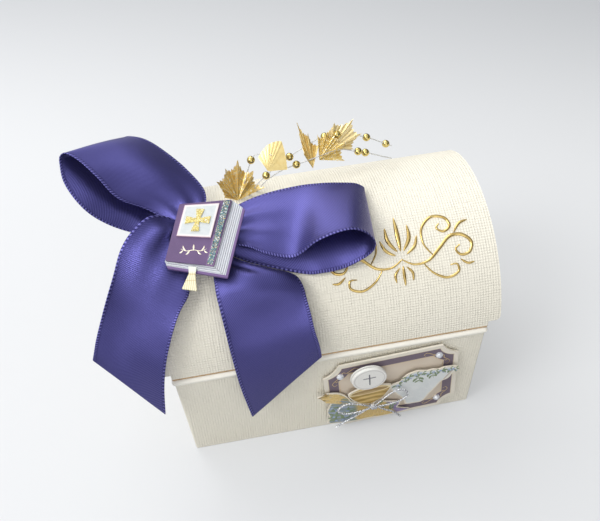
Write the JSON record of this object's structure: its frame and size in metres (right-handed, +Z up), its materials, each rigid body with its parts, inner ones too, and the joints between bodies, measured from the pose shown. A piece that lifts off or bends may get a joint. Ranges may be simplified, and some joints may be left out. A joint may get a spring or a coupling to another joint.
{
  "type": "gift box",
  "caption": "Small chest-shaped card gift box with a barrel lid on a paper hinge, a satin ribbon bow, a book ornament, a garland of gold leaves and a layered label.",
  "frame": {"origin": "centre of the tray's bottom face", "axes": "+Z up, +X along the box's length to the right, -Y towards the front with the label; millimetres in the source"},
  "size_m": [0.1267, 0.0785, 0.0981],
  "materials": {
    "linen_card": "matt cream card with an embossed linen grain",
    "kraft_card": "plain tan card",
    "satin_ribbon": "royal violet-blue satin with a doubled selvedge",
    "foam_tape": "white foam tape",
    "label_print": "ivory card with a grey-violet printed band",
    "pale_card": "pale card",
    "sprig_print": "printed card with grain and leaves",
    "gold_card": "gold printed card",
    "clear_stone": "cut clear stone",
    "silver_cord": "metallised silver cord",
    "purple_card": "purple printed card",
    "glitter": "glitter strip",
    "pale_gold_tassel": "pale gold printed tassel",
    "clear_strand": "thin clear strand over wire",
    "gold_bead": "gold metallised bead",
    "gold_foil": "gold metallised film"
  },
  "bodies": {
    "tray": {"tray_shell": "linen_card", "tray_liner": "kraft_card", "floor_card": "kraft_card", "hinge_leaf_tray": "linen_card", "label_foam_pads": "foam_tape", "label_card": "label_print", "layer_foam_pads": "foam_tape", "page_card": "pale_card", "sprig_card": "sprig_print", "chalice_card": "gold_card", "host_disc": "pale_card", "rhinestones": "clear_stone", "cord_bow": "silver_cord"},
    "lid": {"lid_cover": "linen_card", "lid_liner": "kraft_card", "lid_end_left": "linen_card", "lid_end_right": "linen_card", "hinge_leaf_lid": "linen_card", "bow_knot": "satin_ribbon", "bow_loop_left": "satin_ribbon", "bow_loop_right": "satin_ribbon", "bow_tail_left": "satin_ribbon", "bow_tail_right": "satin_ribbon", "book_foam_pad": "foam_tape", "book_card": "pale_card", "book_cover": "purple_card", "book_picture": "pale_card", "book_cross": "gold_card", "book_glitter_strip": "glitter", "book_marker": "pale_gold_tassel", "garland_wire_a": "clear_strand", "garland_wire_b": "clear_strand", "garland_wire_c": "clear_strand", "garland_beads": "gold_bead", "leaf_1": "gold_foil", "leaf_2": "gold_foil", "leaf_3": "gold_foil", "leaf_4": "gold_foil", "leaf_5": "gold_foil"}
  },
  "joints": [
    {"name": "lid_hinge", "type": "hinge", "parent": "tray", "child": "lid", "pos_m": [0, 0.0369, 0.042], "axis": [-1, 0, 0], "range_deg": [0, 110]}
  ]
}
